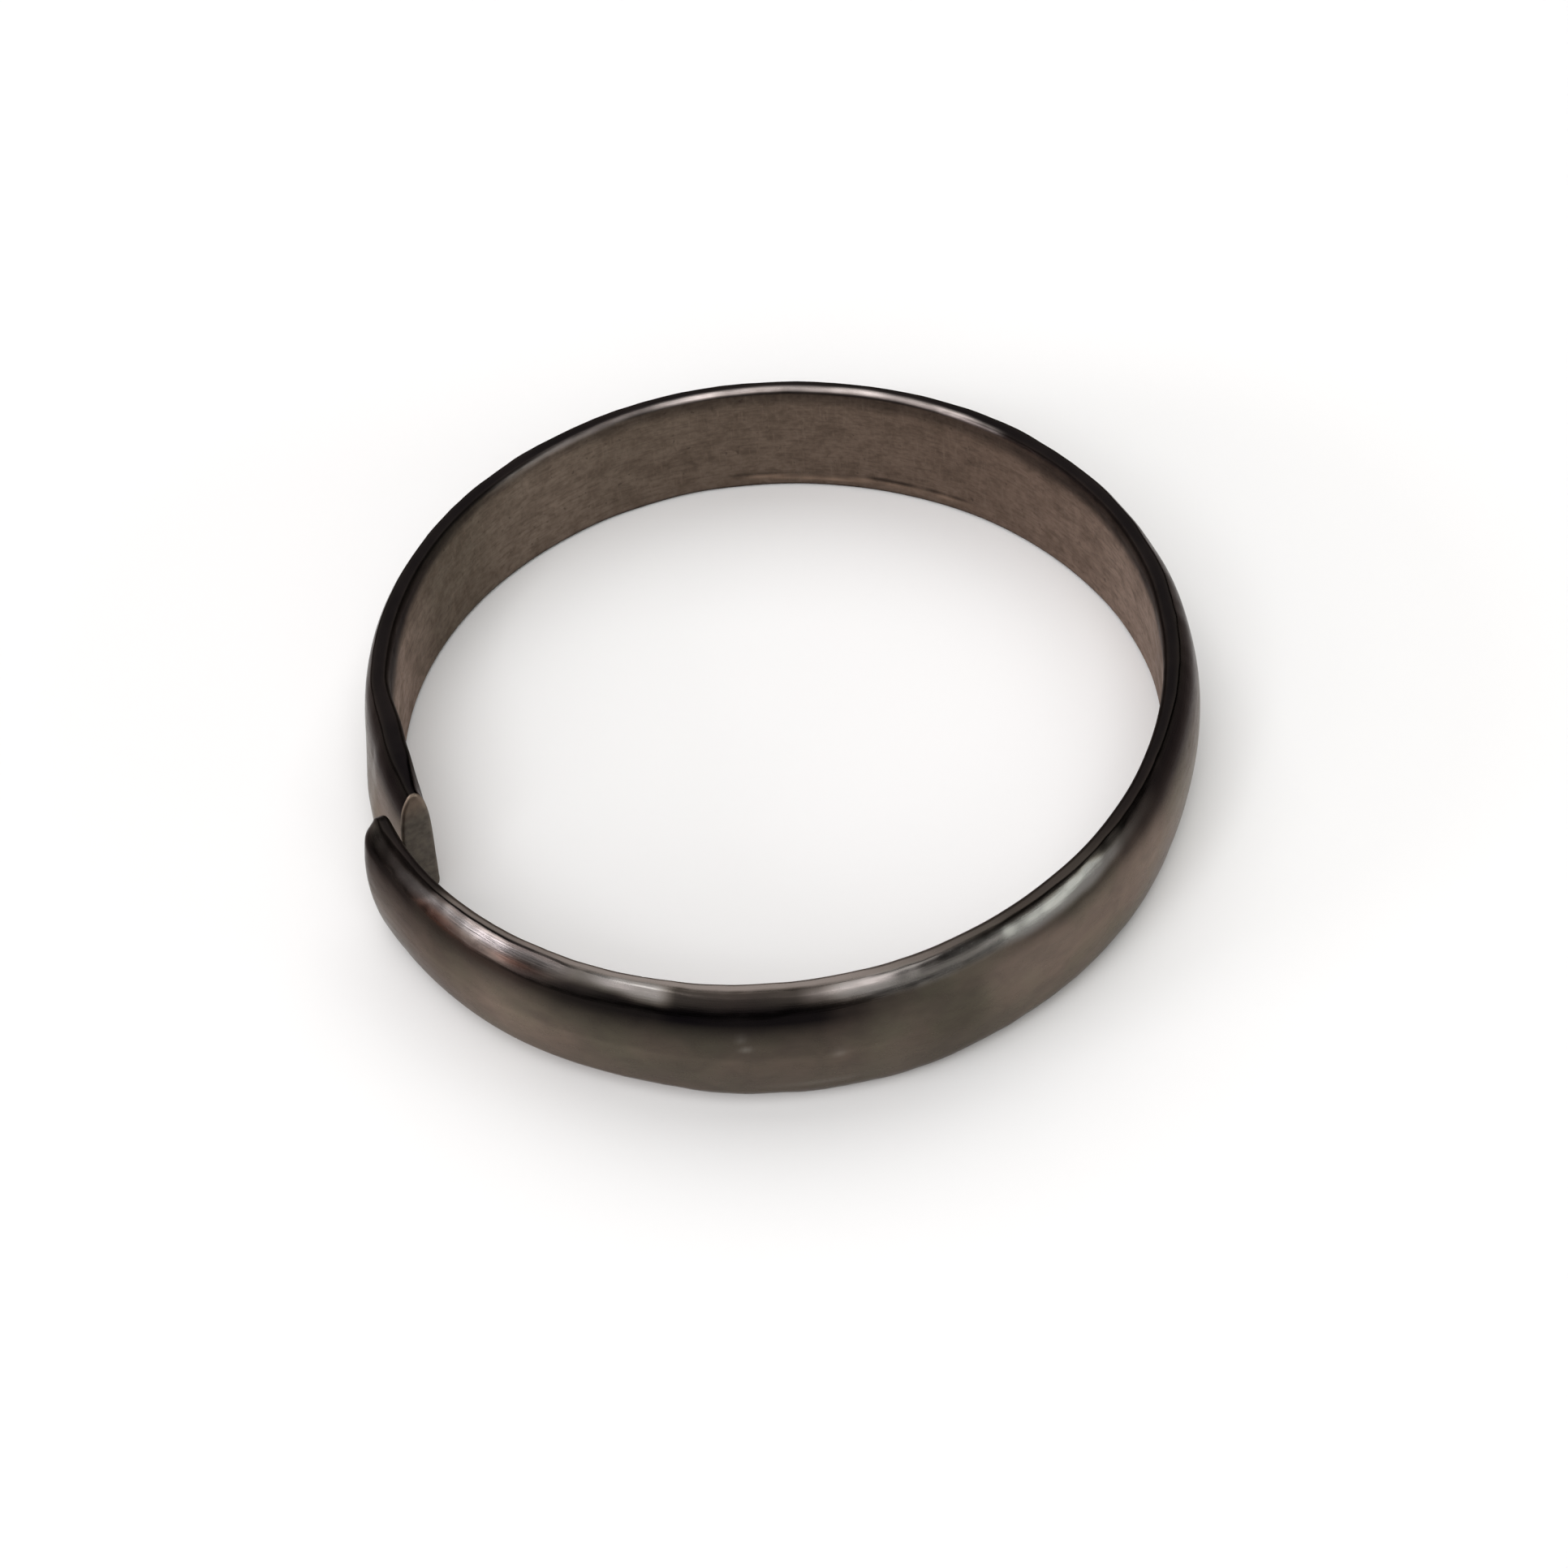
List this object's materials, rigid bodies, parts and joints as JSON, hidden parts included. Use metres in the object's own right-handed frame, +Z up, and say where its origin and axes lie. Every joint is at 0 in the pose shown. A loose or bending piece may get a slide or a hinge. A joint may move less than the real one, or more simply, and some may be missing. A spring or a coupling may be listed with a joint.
{
  "type": "plain open finger ring",
  "caption": "Plain finger ring bent from one half-round strip of dark iron into an open loop, with filed rims and one end set inside the other.",
  "frame": {"origin": "on the surface that the ring lies on, at the centre of the arc of its right half, 0.3 mm from the middle of its box", "axes": "+Z up, out of the finger hole; +X away from the two ends; -Y towards the side that the picture shows nearest"},
  "size_m": [0.02, 0.0206, 0.0036],
  "materials": {
    "band": "dark satin iron, matte inside"
  },
  "bodies": {
    "root": {"band": "band"}
  },
  "joints": []
}
